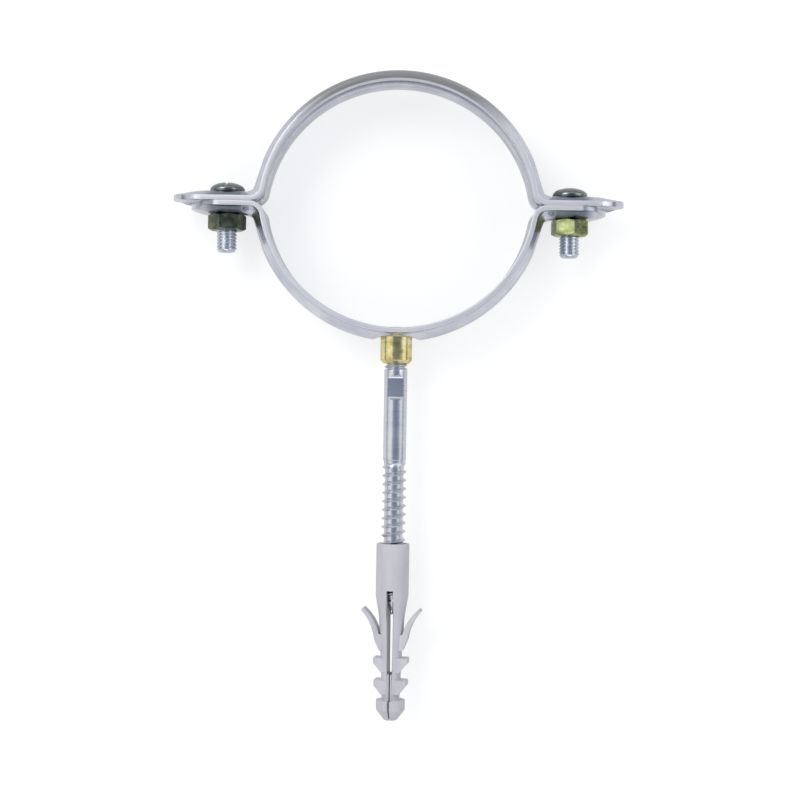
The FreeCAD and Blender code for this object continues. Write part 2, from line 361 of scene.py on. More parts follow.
class Finish(Tree):
    """A material with one Principled shader."""

    def __init__(self, name, **constants):
        self.material = bpy.data.materials.new(name)
        self.material.use_nodes = True
        super().__init__(self.material.node_tree)
        for socket, value in constants.items():
            self.constant(socket.replace("_", " "), value)
        self.place = self.node("ShaderNodeTexCoord", {}, {}, "Object")

    def constant(self, socket, value):
        self.tree.nodes["Principled BSDF"].inputs[socket].default_value = value

    def stretched(self, x, y, z):
        """Object coordinates, scaled on their own axes."""
        return self.node("ShaderNodeMapping", {}, {"Vector": self.place, "Scale": (x, y, z)})

    def axis(self, name):
        """Where a place is along X, Y or Z."""
        return self.node("ShaderNodeSeparateXYZ", {}, {0: self.place}, name)

    def noise(self, scale, detail=3.0, place=None, roughness=0.55):
        return self.node("ShaderNodeTexNoise", {},
                         {"Vector": place or self.place, "Scale": scale, "Detail": detail,
                          "Roughness": roughness})

    def bump(self, height, depth, strength=1.0, under=None):
        sockets = {"Height": height, "Distance": depth, "Strength": strength}
        if under:
            sockets["Normal"] = under
        return self.node("ShaderNodeBump", {}, sockets)

    def feed(self, **fields):
        self.link("Principled BSDF", **fields)
        return self.material


print("shader helpers ready")

# %% [markdown]
# **Bright zinc.** Zinc plate on rolled strip is silver with a faint lilac and blue cast, and
# it isn't even: it clouds where the bath was uneven, and the rolling leaves fine lines along
# the strip. The lines run round the band, so noise that is squeezed along Z, the width of the
# strip, draws them on every arc and ear.

# %% Zinc plate
# A dark olive: painted dark reflection on the top of the front half, and the darker colour of the bolt
# heads
dark_olive_tone = (0.17, 0.18, 0.17)
# The heights between which the bolt heads turn darker
bolt_head = (ear_thickness - 0.1 * mm, ear_thickness + 0.3 * mm)


def zinc(name, light, shade, rough, along, streak_depth=0.012 * mm, sheared_and_shaded=False, dark_heads=False):
    """along is the scale of the streaks on each axis: large across them and small along them."""
    finish = Finish(name, Metallic=1.0)
    streaks = finish.noise(1.0, 4.0, finish.stretched(*along))
    clouds = finish.noise(95.0, 3.0)
    grain = finish.noise(2600.0, 2.0)
    tone = clouds * 0.65 + streaks * 0.35
    between = tuple((a + b) / 2 for a, b in zip(light, shade))
    colour = finish.ramp(tone, (0.30, shade), (0.52, between), (0.70, light))
    roughness = rough + (clouds - 0.5) * 0.16 + (streaks - 0.5) * 0.14 + (grain - 0.5) * 0.06
    waves = finish.noise(240.0, 2.0)
    relief = finish.bump(waves, 0.05 * mm, 0.5)
    relief = finish.bump(streaks, streak_depth, 0.8, relief)
    relief = finish.bump(grain, 0.004 * mm, 0.8, relief)
    # The sheared edges, with painted shade and painted dark reflections on the strip
    if sheared_and_shaded:
        colour, roughness = sheared_edges_and_painted_shade(finish, colour, roughness, clouds)
    # The bolt heads are coloured darker above the ear's face
    if dark_heads:
        head = finish.share(finish.axis("Y"), *bolt_head)
        colour = finish.mix(head * (0.80 + clouds * 0.2), colour, dark_olive_tone)
    return finish.feed(Base_Color=colour, Roughness=roughness, Normal=relief)


print("the film on the heads starts at", round(bolt_head[0] / mm, 1), "mm")

# %% [markdown]
# ** Sheared edges and painted shade.** The strip's edges were sheared, so they are rougher and
# even in tone. Shade and dark reflections are painted into the colour as a dark slate: in patches
# beside the bead, as a line along the bead's lower flank, and in the hollows of the ears. A dark
# olive reflection is painted on the top of the front half, and the heads of the bolts are coloured
# darker. Each mark is a share from 0 to 1 between two places on the strip, and shares that are
# multiplied keep a mark within both.

# %% Sheared edges, painted shade and reflections, darker bolt heads
edge_tone, edge_roughness = (0.74, 0.74, 0.77), 0.30
# A dark slate for the painted shade and painted dark reflections on the strip
shade_and_reflection_tone = (0.13, 0.16, 0.20)
sheared_edge = (half_width - 0.35 * mm, half_width - 0.15 * mm)
beside_bead = (bead_foot - 1.0 * mm, bead_foot + 0.4 * mm)
line_start, line_end = (-4.0 * mm, -2.8 * mm), (-1.2 * mm, 0.0)
flank_end = (bead_foot - 1.2 * mm, bead_foot)
ring_top = (seat_radius * 0.55, seat_radius * 0.80)
ear_hollow = (ear_crown - 0.8 * mm, ear_crown + 0.6 * mm)
ear_start = (bend_x + 0.5 * mm, bend_x + 3.0 * mm)
hollow_end = (rear_high.x - 7.0 * mm, rear_high.x - 4.0 * mm)


def sheared_edges_and_painted_shade(finish, colour, roughness, clouds):
    up = finish.axis("Z")
    across = abs(up)
    out = abs(finish.axis("X"))
    # A share from the clouds' noise, which makes the painted shade patchy
    cloud_share = finish.share(clouds, 0.40, 0.60)
    top = finish.share(finish.axis("Y"), *ring_top)
    ear = finish.share(out, *ear_start)
    # Painted dark reflection in patches beside the bead, away from the top of the ring
    patches = finish.share(across, *beside_bead) * cloud_share * (1 - top)
    colour = finish.mix(patches * 0.5, colour, shade_and_reflection_tone)
    # Painted shade as a line along the bead's lower flank, darkest at the top of the ring
    line = finish.share(up, *line_start) * (1 - finish.share(up, *line_end)) * (1 - ear)
    colour = finish.mix(line * (0.30 + cloud_share * 0.2 + top * 0.35), colour, shade_and_reflection_tone)
    # Painted dark reflection on the bead's flank at the top of the front half
    flank = finish.share(up, *line_end) * (1 - finish.share(up, *flank_end)) * top
    colour = finish.mix(flank * 0.75, colour, dark_olive_tone)
    # Painted shade and painted dark reflection in the hollows of the ears
    hollow = finish.share(across, *ear_hollow) * ear * (1 - finish.share(out, *hollow_end))
    colour = finish.mix(hollow * (0.95 - cloud_share * 0.25), colour, shade_and_reflection_tone)
    edge = finish.share(across, *sheared_edge)
    colour = finish.mix(edge, colour, edge_tone)
    # Painted dark reflection on the sheared edge at the top of the front half
    colour = finish.mix(edge * top * 0.75, colour, dark_olive_tone)
    return colour, roughness + edge * edge_roughness


strip_streaks = (60.0, 60.0, 2600.0)
front_zinc = zinc("bright_zinc_front", (0.80, 0.80, 0.84), (0.48, 0.50, 0.58), 0.25, strip_streaks,
                  sheared_and_shaded=True)
rear_zinc = zinc("bright_zinc_rear", (0.80, 0.80, 0.84), (0.48, 0.50, 0.58), 0.26, strip_streaks,
                 sheared_and_shaded=True)
screw_zinc = zinc("bright_zinc_screw", (0.76, 0.77, 0.80), (0.55, 0.57, 0.62), 0.30,
                  (70.0, 2400.0, 70.0), 0.008 * mm)
bolt_zinc = zinc("bright_zinc_bolts", (0.68, 0.71, 0.75), (0.44, 0.48, 0.56), 0.26,
                 (500.0, 1400.0, 500.0), 0.008 * mm, dark_heads=True)
print("four zinc finishes")

# %% [markdown]
# **Passivated zinc.** The nuts were dipped in a chromate that leaves an oily film from olive
# to yellow. It varies in patches a few millimetres across, so one noise picks the colour and
# a finer one stirs it. The two nuts came from different batches.

# %% Olive and yellow nuts
def passivated(name, pale, deep, dark):
    finish = Finish(name, Metallic=1.0)
    patches = finish.noise(330.0, 3.0)
    film = finish.noise(1300.0, 3.0)
    grain = finish.noise(4200.0, 2.0)
    colour = finish.ramp(patches * 0.75 + film * 0.25, (0.34, dark), (0.50, deep), (0.66, pale))
    roughness = 0.30 + (film - 0.5) * 0.22 + (grain - 0.5) * 0.10
    relief = finish.bump(film, 0.02 * mm, 0.6)
    relief = finish.bump(grain, 0.005 * mm, 0.8, relief)
    return finish.feed(Base_Color=colour, Roughness=roughness, Normal=relief)


olive = passivated("olive_passivate", (0.26, 0.27, 0.20), (0.13, 0.15, 0.10), (0.06, 0.07, 0.05))
lime = passivated("yellow_passivate", (0.52, 0.60, 0.26), (0.30, 0.34, 0.16), (0.12, 0.12, 0.07))
print("two passivated finishes")

# %% [markdown]
# **Turned brass.** The boss came off a bar lathe, so its marks are rings about its own axis,
# which lies along Y. Squeezing noise along Y draws them. The brass has dulled a little in
# patches, from yellow to brown.

# %% Brass
def turned_brass():
    finish = Finish("turned_brass", Metallic=1.0)
    rings = finish.noise(1.0, 3.0, finish.stretched(90.0, 5200.0, 90.0))
    dull = finish.noise(420.0, 3.0)
    brown, yellow, pale = (0.46, 0.37, 0.13), (0.76, 0.66, 0.30), (0.90, 0.83, 0.50)
    colour = finish.ramp(dull * 0.7 + rings * 0.3, (0.32, brown), (0.50, yellow), (0.68, pale))
    roughness = 0.20 + (dull - 0.5) * 0.20 + (rings - 0.5) * 0.12
    relief = finish.bump(dull, 0.02 * mm, 0.5)
    relief = finish.bump(rings, 0.008 * mm, 0.8, relief)
    return finish.feed(Base_Color=colour, Roughness=roughness, Normal=relief)


brass = turned_brass()
print("one brass finish")

# %% [markdown]
# **Grey nylon.** The plug is moulded, so its skin copies the spark-eroded grain of the mould.
# Nylon lets a little light in, which softens its shadows: that is a constant on the shader.
# Faint flow marks run along the plug from the gate at its mouth.

# %% Moulded nylon
def grey_nylon():
    finish = Finish("grey_nylon", Subsurface_Weight=0.12, Subsurface_Scale=0.6 * mm, IOR=1.53)
    finish.constant("Subsurface Radius", (1.0, 0.95, 0.9))
    flow = finish.noise(1.0, 2.0, finish.stretched(420.0, 60.0, 420.0))
    cloud = finish.noise(150.0, 2.0)
    grain = finish.noise(3400.0, 3.0)
    shade, light = (0.545, 0.535, 0.570), (0.625, 0.615, 0.650)
    colour = finish.ramp(flow * 0.5 + cloud * 0.5, (0.35, shade), (0.65, light))
    roughness = 0.40 + (grain - 0.5) * 0.18 + (cloud - 0.5) * 0.10
    relief = finish.bump(flow, 0.02 * mm, 0.5)
    relief = finish.bump(grain, 0.010 * mm, 0.9, relief)
    return finish.feed(Base_Color=colour, Roughness=roughness, Normal=relief)


nylon = grey_nylon()
print("one nylon finish")

# %% [markdown]
# ## The two halves of the clamp
#
# Each half starts as a flat strip. Rollers press a rounded bead along its middle, which makes
# it stiff, and a press then bends it round the pipe and turns out an ear at each end. Here the
# strip's cross-section is a closed ring of vertices. It is spun round the seat, spun back
# round the bend, and drawn out along X while the bead runs down to the flatter one of the ear.
# A whole number on each vertex says where in the section it sits. Spinning and extruding pass
# it on, so a ring can be given another section without losing track of its points.

# %% The strip's cross-section
bead_points = 60
corner_steps = 3


def bead_lift(across, height, crown, foot):
    """How far the bead lifts the strip's inner face, and its slope, at a place across."""
    run = min(max((foot - abs(across)) / (foot - crown), 0.0), 1.0)
    lift = height * (1 - math.cos(math.pi * run)) / 2
    slope = -math.copysign(height * math.pi * math.sin(math.pi * run) / 2 / (foot - crown), across)
    return lift, slope


def section(height, crown, foot):
    """(lift, across) of every point round the section, inner face first."""
    inner, outer = [], []
    flat = half_width - strip_corner
    for k in range(bead_points + 1):
        across = -flat + 2 * flat * k / bead_points
        lift, slope = bead_lift(across, height, crown, foot)
        length = math.hypot(1, slope)
        inner.append((lift, across))
        outer.append((lift + sheet / length, across - sheet * slope / length))

    def corner(lift, start):
        angles = [start + math.pi / 2 * k / corner_steps for k in range(1, corner_steps + 1)]
        return [(lift + strip_corner * math.sin(a), flat + strip_corner * math.cos(a)) for a in angles]

    low_corner = corner(strip_corner, -math.pi / 2)
    high_corner = [(sheet - strip_corner, half_width)] + corner(sheet - strip_corner, 0)[:-1]
    right = low_corner + high_corner
    left = [(lift, -across) for lift, across in right[::-1]]
    return inner + right + outer[::-1] + left


arc_section = section(bead_height, bead_crown, bead_foot)
print("the section has", len(arc_section), "points")

# %% [markdown]
# Where the strip bends outwards the top of its bead would crease. So the points there are
# drawn to the middle of their neighbours along the strip, over and over and the more the
# higher they lie on the bead, which leaves the wide fillet of a pressed part.

# %% Soften the bend
# The middle 11 degrees get finer steps, because the boss's seat is pressed into them
seat_zone = math.radians(11)
seat_steps, arc_steps, bend_steps, run_steps, fade_steps = 34, 48, 16, 8, 10
soft_steps, soft_rounds = 9, 70
bead_share = [bead_lift(across, bead_height, bead_crown, bead_foot)[0] / bead_height
              for lift, across in arc_section]


def soften_bend(bm, place):
    paths = [[] for share in bead_share]
    for vert in bm.verts:
        paths[vert[place]].append(vert)
    start = seat_steps + arc_steps - soft_steps
    for share, path in zip(bead_share, paths):
        path = path[start:start + soft_steps + bend_steps + run_steps + 1]
        for _ in range(soft_rounds if share > 0 else 0):
            steps = [(a.co + c.co) / 2 - b.co for a, b, c in zip(path, path[1:], path[2:])]
            for vert, step in zip(path[1:-1], steps):
                vert.co += step * share / 2


def eased(share):
    """A share from 0 to 1 that starts and stops gently."""
    return share * share * (3 - 2 * share)


print("the bend is softened in", soft_rounds, "rounds")

# %% [markdown]
# The half is made as its right-hand quarter, on +Y, and mirrored. The section goes along a
# list of stations from the bend outwards, each between two forms of the bead: first down to
# the ear's, and past the bolt from the ear's to almost none at the tip.

# %% Sweep one quarter of the band
ear_overrun = 2 * mm
bearing_reach, tip_height = 5.6 * mm, 0.3 * mm


def quarter_band(tip_x, press=None):
    bm = bmesh.new()
    place = bm.verts.layers.int.new("place")
    ring = []
    for k, (lift, across) in enumerate(arc_section):
        vert = bm.verts.new((0, seat_radius + lift - seat_offset, across))
        vert[place] = k
        ring.append(vert)
    edges = [bm.edges.new(pair) for pair in zip(ring, ring[1:] + ring[:1])]

    def spun(geom, centre, angle, steps):
        return bmesh.ops.spin(bm, geom=geom, cent=centre, axis=(0, 0, 1), dvec=(0, 0, 0), angle=angle,
                              steps=steps, use_merge=False, use_duplicate=False)["geom_last"]

    centre = (0, -seat_offset, 0)
    last = spun(ring + edges, centre, -seat_zone, seat_steps)
    last = spun(last, centre, -(math.pi / 2 - arc_end - seat_zone), arc_steps)
    last = spun(last, (bend_x, bend_inner, 0), math.pi / 2 - arc_end, bend_steps)

    tall, low = (bead_height, bead_crown, bead_foot), (ear_height, ear_crown, ear_foot)
    faded = (tip_height, ear_crown, ear_foot)
    end_x, flat_x = tip_x + ear_overrun, bolt_x + bearing_reach
    stations = [(bend_x + run_out * k / run_steps, tall, low, k / run_steps)
                for k in range(1, run_steps + 1)]
    stations += [(flat_x + (end_x - flat_x) * k / fade_steps, low, faded, k / fade_steps)
                 for k in range(fade_steps + 1)]
    for x, before, after, share in stations:
        rim = [e for e in last if isinstance(e, bmesh.types.BMEdge)]
        last = bmesh.ops.extrude_edge_only(bm, edges=rim)["geom"]
        verts = [v for v in last if isinstance(v, bmesh.types.BMVert)]
        shape = section(*[a + (b - a) * eased(share) for a, b in zip(before, after)])
        rim_set = set(verts)
        for vert in verts:
            lift, across = shape[vert[place]]
            vert.co = (x, lift, across)
        last = verts + [e for e in last if isinstance(e, bmesh.types.BMEdge)
                        and all(v in rim_set for v in e.verts)]
    end = [e for e in last if isinstance(e, bmesh.types.BMEdge) and e.is_boundary]
    bmesh.ops.edgeloop_fill(bm, edges=end)
    soften_bend(bm, place)
    if press:
        for vert in bm.verts:
            press(vert, vert[place])
    bmesh.ops.mirror(bm, geom=bm.verts[:] + bm.edges[:] + bm.faces[:], merge_dist=hair, axis="X")
    bmesh.ops.recalc_face_normals(bm, faces=bm.faces)
    return bm


print("stations:", run_steps, "down to the ear and", fade_steps + 1, "out to the tip")

# %% [markdown]
# The sweep ends in square ears that are a little too long. The whole half is then cut to its
# outline, with a round end on each ear, and the two bolt holes are cut.

# %% The front half
def stadium(tip_x, low, high):
    """The outline of the whole half seen along Y: straight sides and two round ends."""
    clearance = 0.02 * mm
    end_radius = half_width + clearance
    shift = tip_x - end_radius
    bm = bmesh.new()
    bmesh.ops.create_circle(bm, cap_ends=True, radius=end_radius, segments=180)
    for vert in bm.verts:
        vert.co.x += shift if vert.co.x > 0 else -shift
    bmesh.ops.rotate(bm, verts=bm.verts, cent=(0, 0, 0), matrix=Matrix.Rotation(math.pi / 2, 3, "X"))
    bmesh.ops.translate(bm, verts=bm.verts, vec=(0, low, 0))
    return drawn_out(bm, (0, high - low, 0))


bolt_hole = 3.3 * mm
past = 5 * mm


def half_band(name, tip_x, press=None):
    band = new_piece(name, quarter_band(tip_x, press))
    worked(band, "INTERSECT", stadium(tip_x, -past, front_high.y + past))
    worked(band, "DIFFERENCE", bar(bolt_hole, -past, past, "Y", (bolt_x, 0)),
           bar(bolt_hole, -past, past, "Y", (-bolt_x, 0)))
    return band


front = half_band("front_band", front_high.x)
finish_piece(front, "front_clamp", "front_half_band", front_zinc)

# %% [markdown]
# **The seat for the boss.** The rear half has a round flat pressed into its bead, so that the
# boss sits square. A press doesn't add metal: it moves the strip. So the vertices near the
# middle are moved, the outer face to the flat's height and the inner face one gauge below it,
# and the push fades out over the width of the punch's radius. The half is pressed on +Y and
# then turned over to the wall side.

# %% The rear half
boss_low, boss_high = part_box("threaded_boss")
spigot_radius = 4.3 * mm
seat_inner, seat_outer = 5.4 * mm, 7.4 * mm
seat_rise = 1.0 * mm
boss_seat = seat_radius + sheet + seat_rise - seat_offset
inner_points = bead_points + 1


def press_seat(vert, index):
    reach = math.hypot(vert.co.x, vert.co.z)
    if vert.co.y < 0 or reach > seat_outer:
        return
    share = min(max((seat_outer - reach) / (seat_outer - seat_inner), 0.0), 1.0)
    target = boss_seat - sheet if index < inner_points else boss_seat
    vert.co.y += (target - vert.co.y) * eased(share)


rear = half_band("rear_band", rear_high.x, press_seat)
worked(rear, "DIFFERENCE", bar(spigot_radius, 0, front_high.y + past, "Y"))
rear.data.transform(Matrix.Scale(-1, 4, (0, 1, 0)))
rear.data.flip_normals()
finish_piece(rear, "rear_clamp", "rear_half_band", rear_zinc)

# %% [markdown]
# ## The boss
#
# It is turned from bar with a spigot that goes through the band, and its end is peened over
# inside. The hammer leaves a low head whose side slopes in towards the bore, so the outline
# has that slope and the lathe turns the whole boss at once.

# %% Turn and peen the boss
boss_end = -boss_low.y
peened_top = -boss_high.y
boss_radius = boss_high.x
bore = 3.4 * mm
boss_chamfer = 0.9 * mm
mouth_chamfer = 0.45 * mm
peened_seat = boss_seat - sheet
peened_slope, peened_rim, peened_side = 1.1 * mm, 0.15 * mm, 0.05 * mm
rim_height = 0.55 * mm
spigot = spigot_radius - 0.1 * mm
boss_outline = [(bore, peened_top), (boss_radius - peened_slope, peened_top),
                (boss_radius - peened_rim, peened_seat - rim_height),
                (boss_radius - peened_side, peened_seat),
                (spigot, peened_seat), (spigot, boss_seat),
                (boss_radius, boss_seat), (boss_radius, boss_end - boss_chamfer),
                (boss_radius - boss_chamfer, boss_end), (bore + mouth_chamfer, boss_end),
                (bore, boss_end - mouth_chamfer)]
boss = new_piece("brass_boss", lathe(boss_outline, 96, bored=True))
finish_piece(boss, "rear_clamp", "threaded_boss", brass, place=to_wall)

# %% [markdown]
# ## The bolts
#
# Roofing bolts have a low round head with a screwdriver slot and a thread up to the head. The
# head is turned, the thread swept, and the two are united. The slot is milled last. Each bolt
# was tightened by hand, so the two slots point different ways.

# %% M6 bolts
bolt_radius = 3.0 * mm
bolt_pitch = 1.0 * mm
bolt_root = bolt_radius - 0.32 * mm
head_height = 3.0 * mm
head_rim = 0.7 * mm
slot_width, slot_depth = 1.3 * mm, 1.5 * mm
head_radius = (bolt_high.x - bolt_low.x) / 2
head_seat = -ear_thickness
shank_end = -bolt_low.y
end_chamfer = 0.8 * mm
under_edge = 0.2 * mm
dome_steps = 14
bolt_lap = 0.5 * mm
bolt_root_flat, bolt_crest_flat = 0.15 * mm, 0.35 * mm


def bolt(name, node, turn, x):
    rim, top = head_seat - head_rim, head_seat - head_height
    arc = [math.radians(90 * k / dome_steps) for k in range(dome_steps + 1)]
    dome = [(head_radius * math.cos(a), rim + (top - rim) * math.sin(a)) for a in arc]
    outline = [(0, head_seat), (head_radius - under_edge, head_seat),
               (head_radius, head_seat - under_edge)]
    head = new_piece(name, lathe(outline + dome[:-1] + [(0, top)], 72))

    def rule(radius, along):
        return min(radius, bolt_radius - end_chamfer + (shank_end - along))

    tooth = tooth_outline(bolt_root, bolt_radius, bolt_pitch, bolt_root_flat, bolt_crest_flat)
    worked(head, "UNION", threaded_rod(tooth, bolt_pitch, head_seat - bolt_lap, shank_end, rule))
    slot = block((-slot_width / 2, -2 * head_radius, top - slot_depth),
                 (slot_width / 2, 2 * head_radius, top + slot_depth))
    bmesh.ops.rotate(slot, verts=slot.verts, cent=(0, 0, 0), matrix=Matrix.Rotation(turn, 3, "Z"))
    worked(head, "DIFFERENCE", slot)
    place = Matrix.Translation((x, 0, 0)) @ to_wall
    return finish_piece(head, "front_clamp", node, bolt_zinc, edge=0.05 * mm, limit=50, place=place)


bolt("bolt_left_threaded", "bolt_left", math.radians(6), -bolt_x)
bolt("bolt_right_threaded", "bolt_right", math.radians(68), bolt_x)

# %% [markdown]
# ## The nuts
#
# A hex nut is a six-sided bar with both faces turned to a shallow cone, which leaves the
# curved corners that every nut has. So a hexagon is extruded, and the part of it inside a
# turned disc is kept. The hole has a small countersink at each end. A circle of six points
# starts at +Y, and a twelfth of a turn back puts a corner on X, from which the turns count.

# %% M6 nuts
across_flats = 10.0 * mm
nut_low, nut_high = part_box("nut_left")
nut_top, nut_bottom = -nut_high.y, -nut_low.y
nut_hole = 2.55 * mm
countersink = 0.55 * mm
face_inset, disc_margin = 0.2 * mm, 0.3 * mm
face_slope = math.radians(30)
corner_to_x = math.pi / 6


def nut(name, node, body, turn, x, material):
    corner = across_flats / math.sqrt(3)
    bm = bmesh.new()
    bmesh.ops.create_circle(bm, cap_ends=True, radius=corner, segments=6)
    bmesh.ops.translate(bm, verts=bm.verts, vec=(0, 0, nut_top))
    piece = new_piece(name, drawn_out(bm, (0, 0, nut_bottom - nut_top)))
    flat = across_flats / 2 - face_inset
    wide = corner + disc_margin
    drop = (wide - flat) * math.tan(face_slope)
    disc = [(0, nut_top + hair), (flat, nut_top + hair), (wide, nut_top + drop),
            (wide, nut_bottom - drop), (flat, nut_bottom - hair), (0, nut_bottom - hair)]
    worked(piece, "INTERSECT", lathe(disc, 96))
    mouth = nut_hole + countersink
    hole = [(0, nut_top - past), (mouth, nut_top - past), (mouth, nut_top),
            (nut_hole, nut_top + countersink), (nut_hole, nut_bottom - countersink),
            (mouth, nut_bottom), (mouth, nut_bottom + past), (0, nut_bottom + past)]
    worked(piece, "DIFFERENCE", lathe(hole, 64))
    place = Matrix.Translation((x, 0, 0)) @ to_wall @ Matrix.Rotation(turn - corner_to_x, 4, "Z")
    return finish_piece(piece, body, node, material, edge=0.1 * mm, limit=25, place=place)


nut("nut_left_hex", "nut_left", "nut_left", math.radians(-10), -bolt_x, olive)
nut("nut_right_hex", "nut_right", "nut_right", math.radians(20), bolt_x, lime)

# %% [markdown]
# ## The hanger screw
#
# One rod does two jobs: a machine thread goes into the boss, and a coarse wood thread into
# the plug. Between them a collar, two milled flats for a spanner and a plain shank. The wood
# thread starts gently, because its rollers let go of the shank over a turn, and it keeps its
# form as it narrows to the point. The flats are milled by a wheel, which leaves a round
# run-out at both ends, so each flat is cut by a block between two bars.

# %% Turn, thread and mill the hanger screw
screw_low, screw_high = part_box("hanger_screw")
rod_radius = 3.5 * mm
rod_top, rod_tip = -screw_high.y, -screw_low.y
thread_showing, collar_length, grip_length, plain_length = 1.9 * mm, 1.7 * mm, 7.6 * mm, 18.2 * mm
machine_end = boss_end + thread_showing
grip_start = machine_end + collar_length
grip_end = grip_start + grip_length
plain_end = grip_end + plain_length
wood_crest = screw_high.x
wood_core = 2.85 * mm
wood_pitch = 2.58 * mm
point_length = 9.2 * mm
point_radius = 0.35 * mm
wood_root_flat, wood_crest_flat = 1.3 * mm, 0.12 * mm
machine_pitch, machine_depth, machine_chamfer = 1.25 * mm, 0.75 * mm, 0.6 * mm
machine_root_flat, machine_crest_flat = 0.2 * mm, 0.15 * mm
grip_half = 2.55 * mm
grip_round = 1.4 * mm
shank_round = 0.25 * mm
start_crest = rod_radius - 0.15 * mm
rod_lap = 0.4 * mm


def wood_rule(radius, along):
    fade = min(max((along - plain_end) / wood_pitch, 0.0), 1.0)
    crest = start_crest + (wood_crest - start_crest) * fade
    depth = (wood_crest - radius) * fade
    into_point = (along - rod_tip + point_length) / point_length
    narrow = min(1.0, 1 - into_point * (1 - point_radius / wood_crest))
    return (crest - depth) * narrow


def machine_rule(radius, along):
    return min(radius, rod_radius - machine_chamfer + (along - rod_top))


shank_outline = rounded([(0, machine_end), (rod_radius, machine_end), (rod_radius, plain_end),
                         (0, plain_end)], shank_round)
screw = new_piece("hanger_screw_threaded", lathe(shank_outline, 96))
wheel_steps = 48
clear = 2 * rod_radius
flat_start, flat_end = grip_start + grip_round, grip_end - grip_round
for side in (1, -1):
    low, high = sorted((side * grip_half, side * clear))
    worked(screw, "DIFFERENCE", block((-clear, low, flat_start), (clear, high, flat_end)))
    for end in (flat_start, flat_end):
        worked(screw, "DIFFERENCE", bar(grip_round, -clear, clear, "X",
                                        (side * (grip_half + grip_round), end), wheel_steps))
machine_tooth = tooth_outline(rod_radius - machine_depth, rod_radius, machine_pitch,
                              machine_root_flat, machine_crest_flat)
worked(screw, "UNION", threaded_rod(machine_tooth, machine_pitch, rod_top, machine_end + rod_lap,
                                    machine_rule))
wood_tooth = tooth_outline(wood_core, wood_crest, wood_pitch, wood_root_flat, wood_crest_flat)
worked(screw, "UNION", threaded_rod(wood_tooth, wood_pitch, plain_end - rod_lap, rod_tip, wood_rule))
finish_piece(screw, "hanger", "hanger_screw", screw_zinc, edge=0, limit=35, place=to_wall)

# %% [markdown]
# ## The wall plug
#
# One moulding of nylon: a round barrel with the bore for the screw, a neck, and two legs that
# the screw drives apart. Barbs grip the masonry, and two thin wings spring open in a soft
# block. The round forms come off the lathe, the barbs and wings are slabs across the legs,
# and the bore, window and slot are cut out of the whole. A soft bevel stands for the mould's
# own rounded edges.

# %% Mould the plug
plug_low, plug_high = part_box("wall_plug")
mouth, plug_end = -plug_high.y, -plug_low.y
plug_length = plug_end - mouth
plug_turn = math.radians(9)
barrel, neck, waist, leg, leg_end = 5.0 * mm, 3.85 * mm, 3.6 * mm, 3.3 * mm, 2.7 * mm
barrel_end, neck_end, waist_end = 15.6 * mm, 22.4 * mm, 33.0 * mm
head_start, head_straight, head_reach, head_tip = 47.4 * mm, 3.0 * mm, 4.4 * mm, 1.95 * mm
mouth_flat, barrel_round, shoulder, tip_flat, head_round = 4 * mm, 0.5 * mm, 0.6 * mm, 1 * mm, 0.3 * mm
tooth_flat, tooth_run, barb_thickness = 1.6 * mm, 4.4 * mm, 5.2 * mm
barbs = ((34.6 * mm, 5.2 * mm), (41.3 * mm, 4.95 * mm))
wing_root, wing_foot, wing_core = 27.4 * mm, 32.4 * mm, 1.2 * mm
wing_shoulder = (5.1 * mm, 28.8 * mm)
wing_tip, wing_blunt = 9.1 * mm, 0.5 * mm
tip_inner, tip_outer = 19.5 * mm, 20.4 * mm
wing_bow, wing_thickness, wing_steps = 0.75 * mm, 4.4 * mm, 12


def barb(start, reach):
    right = [(reach, start), (reach, start + tooth_flat), (leg_end, start + tooth_run)]
    return plate(right + [(-x, z) for x, z in right[::-1]], barb_thickness)


def bowed(start, end, bow):
    """Points along a shallow arc between two points, bowed to one side."""
    start, end = Vector(start), Vector(end)
    aside = (end - start).orthogonal().normalized() * bow
    return [tuple(start.lerp(end, u) + aside * 4 * u * (1 - u))
            for u in (k / wing_steps for k in range(wing_steps + 1))]


def wing(side):
    inner = bowed((waist, wing_root), (wing_tip - wing_blunt, tip_inner), -wing_bow)
    outer = bowed(wing_shoulder, (wing_tip, tip_outer), -wing_bow)
    foot = [(waist, wing_foot), (wing_core, wing_foot), (wing_core, wing_root)]
    return plate([(side * x, z) for x, z in inner + outer[::-1] + foot], wing_thickness)


body_outline = rounded([(mouth_flat, 0), (barrel, 0), (barrel, barrel_end), (neck, neck_end),
                        (waist, wing_root), (leg, waist_end), (leg_end, head_start)], barrel_round)
head_outline = rounded([(head_reach - shoulder, head_start), (head_reach, head_start),
                        (head_reach, head_start + head_straight), (head_tip, plug_length),
                        (head_tip - tip_flat, plug_length)], head_round)
plug = new_piece("nylon_plug", lathe([(0, 0)] + body_outline + head_outline + [(0, plug_length)], 96))
worked(plug, "UNION", *[barb(start, reach) for start, reach in barbs], wing(1), wing(-1))

bore_play, mouth_bevel = 0.05 * mm, 0.3 * mm
bore_radius = wood_crest + bore_play
slot_top, slot_low = 0.95 * mm, 0.7 * mm
straight = rod_tip - point_length - mouth
taper = (wood_crest - point_radius) / point_length
bore_end = straight + (bore_radius - slot_top) / taper
window_start, window_end, slot_end = 14.1 * mm, 21.8 * mm, 39.5 * mm
window_half, slit_half = 1.0 * mm, 0.175 * mm
